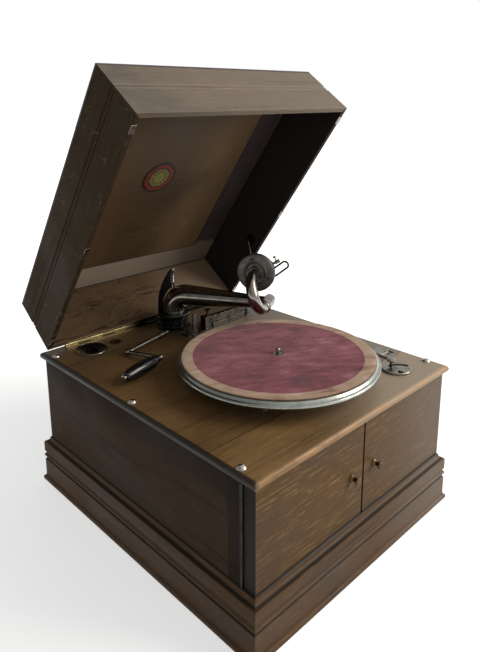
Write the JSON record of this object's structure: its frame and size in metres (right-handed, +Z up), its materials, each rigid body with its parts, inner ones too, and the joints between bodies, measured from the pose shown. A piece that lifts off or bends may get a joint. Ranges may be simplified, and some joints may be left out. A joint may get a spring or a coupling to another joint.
{
  "type": "coin-operated table gramophone",
  "caption": "Closed-case table gramophone with a hinged lid, doors over an inner horn, felt turntable, swan-neck tone arm, winding handle and coin entry.",
  "frame": {"origin": "centre of the case's footprint, on the surface that it stands on", "axes": "+Z up, +X to the right along the doors, +Y to the back, doors facing -Y"},
  "size_m": [0.448, 0.577, 0.6861],
  "materials": {
    "oak_front": "satin fumed oak with fine level grain",
    "oak_side": "dark fumed oak, satin",
    "oak_deck": "polished oak, quarter sawn",
    "oak_lid": "polished oak, figured",
    "felt": "wool felt",
    "nickel": "old bright nickel plate",
    "dark_nickel": "dull grey nickel plate",
    "japan": "black japan, gloss",
    "brass": "aged brass",
    "bronze": "dark bronzed brass",
    "steel": "dull steel",
    "tin": "tinned sheet",
    "black_wood": "black varnished turned wood",
    "badge": "printed and varnished"
  },
  "bodies": {
    "case": {"plinth_moulding": "oak_front", "bottom_board": "oak_side", "left_panel": "oak_side", "right_panel": "oak_side", "rear_panel": "oak_side", "mouth_frame": "oak_front", "front_sill": "oak_front", "deck_board": "oak_deck", "deck_rails": "oak_deck", "deck_studs": "nickel", "horn_flare": "oak_side", "horn_throat": "japan", "arm_base": "japan", "arm_pivot_screw": "nickel", "needle_cup": "nickel", "needle_dish": "bronze", "speed_plate": "nickel", "coin_plate": "nickel", "coin_chute": "tin", "coin_box": "tin", "motor_plate": "steel", "motor_frame": "steel", "motor_bolts": "steel", "brake_bracket": "steel", "winding_bush": "brass", "door_hinge_fixed": "brass", "lid_hinge_fixed": "brass", "stay_slot_plate": "brass"},
    "lid": {"lid_front_board": "oak_front", "lid_rear_board": "oak_lid", "lid_side_boards": "oak_side", "lid_border": "oak_lid", "lid_panel": "oak_lid", "lid_badge": "badge", "lid_rim_plates": "brass", "lid_hinge_leaf": "brass", "stay_bracket": "brass"},
    "stay": {"stay_rod": "nickel"},
    "left_door": {"left_door": "oak_front", "left_door_leaf": "brass", "left_door_knob": "bronze"},
    "right_door": {"right_door": "oak_front", "right_door_leaf": "brass", "right_door_knob": "bronze"},
    "turntable": {"turntable": "nickel", "turntable_mat": "felt", "spindle": "nickel"},
    "spring_barrel": {"spring_barrel": "brass"},
    "transfer_wheel": {"transfer_wheel": "brass"},
    "governor": {"governor": "brass"},
    "winding_shaft": {"winding_shaft": "steel"},
    "crank": {"crank_rod": "nickel"},
    "crank_grip": {"crank_grip": "black_wood"},
    "tone_arm": {"tone_arm": "nickel"},
    "sound_head": {"gooseneck": "nickel", "sound_box": "dark_nickel", "needle_bar": "nickel"},
    "brake": {"brake_lever": "steel"},
    "speed_lever": {"speed_lever": "nickel"},
    "coin_lever": {"coin_lever": "brass"}
  },
  "joints": [
    {"name": "lid_hinge", "type": "hinge", "parent": "case", "child": "lid", "pos_m": [0, 0.2358, 0.2394], "axis": [1, 0, 0], "range_deg": [0, 42]},
    {"name": "stay_pivot", "type": "hinge", "parent": "lid", "child": "stay", "pos_m": [0.196, 0.17441, 0.37026], "axis": [1, 0, 0], "range_deg": [-3.4, 0.2]},
    {"name": "left_door_hinge", "type": "hinge", "parent": "case", "child": "left_door", "pos_m": [-0.2106, -0.222, 0.15], "axis": [0, 0, -1], "range_deg": [0, 110]},
    {"name": "right_door_hinge", "type": "hinge", "parent": "case", "child": "right_door", "pos_m": [0.2106, -0.222, 0.15], "axis": [0, 0, 1], "range_deg": [0, 110]},
    {"name": "turntable_spin", "type": "hinge", "parent": "case", "child": "turntable", "pos_m": [0, -0.085, 0.25], "axis": [0, 0, -1], "continuous": true},
    {"name": "barrel_spin", "type": "hinge", "parent": "case", "child": "spring_barrel", "pos_m": [-0.062, -0.085, 0.18], "axis": [0, 0, 1], "continuous": true},
    {"name": "transfer_spin", "type": "hinge", "parent": "case", "child": "transfer_wheel", "pos_m": [-0.02097, -0.11426, 0.18], "axis": [0, 0, 1], "continuous": true},
    {"name": "governor_spin", "type": "hinge", "parent": "case", "child": "governor", "pos_m": [0.0193, -0.085, 0.173], "axis": [0, 1, 0], "continuous": true},
    {"name": "winding_spin", "type": "hinge", "parent": "case", "child": "winding_shaft", "pos_m": [0.1, -0.0585, 0.205], "axis": [1, 0, 0], "continuous": true},
    {"name": "crank_lift", "type": "slide", "parent": "case", "child": "crank", "axis": [0, 0, 1], "range_m": [0, 0.06]},
    {"name": "grip_spin", "type": "hinge", "parent": "crank", "child": "crank_grip", "pos_m": [-0.14084, 0.06186, 0.2452], "axis": [0.9673, 0.2538, 0], "continuous": true},
    {"name": "arm_swing", "type": "hinge", "parent": "case", "child": "tone_arm", "pos_m": [0.0165, 0.1875, 0.26], "axis": [0, 0, 1], "range_deg": [-25, 8]},
    {"name": "neck_flip", "type": "hinge", "parent": "tone_arm", "child": "sound_head", "pos_m": [0.10153, 0.03283, 0.2965], "axis": [0.8763, 0.4818, 0], "range_deg": [0, 76]},
    {"name": "brake_swing", "type": "hinge", "parent": "case", "child": "brake", "pos_m": [0.006, 0.134, 0.2462], "axis": [0, 0, 1], "range_deg": [-12, 0]},
    {"name": "speed_swing", "type": "hinge", "parent": "case", "child": "speed_lever", "pos_m": [0.1385, -0.2125, 0.2375], "axis": [0, 0, 1], "range_deg": [-54, 3]},
    {"name": "coin_lever_swing", "type": "hinge", "parent": "case", "child": "coin_lever", "pos_m": [0.183, -0.10727, 0.1635], "axis": [1, 0, 0], "range_deg": [0, 12], "stiffness_Nm_per_rad": 0.02, "springref_deg": -2.86}
  ],
  "couplings": [
    {"joint": "stay_pivot", "follows": "lid_hinge", "ratio": -0.078},
    {"joint": "transfer_spin", "follows": "turntable_spin", "ratio": 0.25},
    {"joint": "barrel_spin", "follows": "turntable_spin", "ratio": -0.05},
    {"joint": "governor_spin", "follows": "turntable_spin", "ratio": 10}
  ]
}
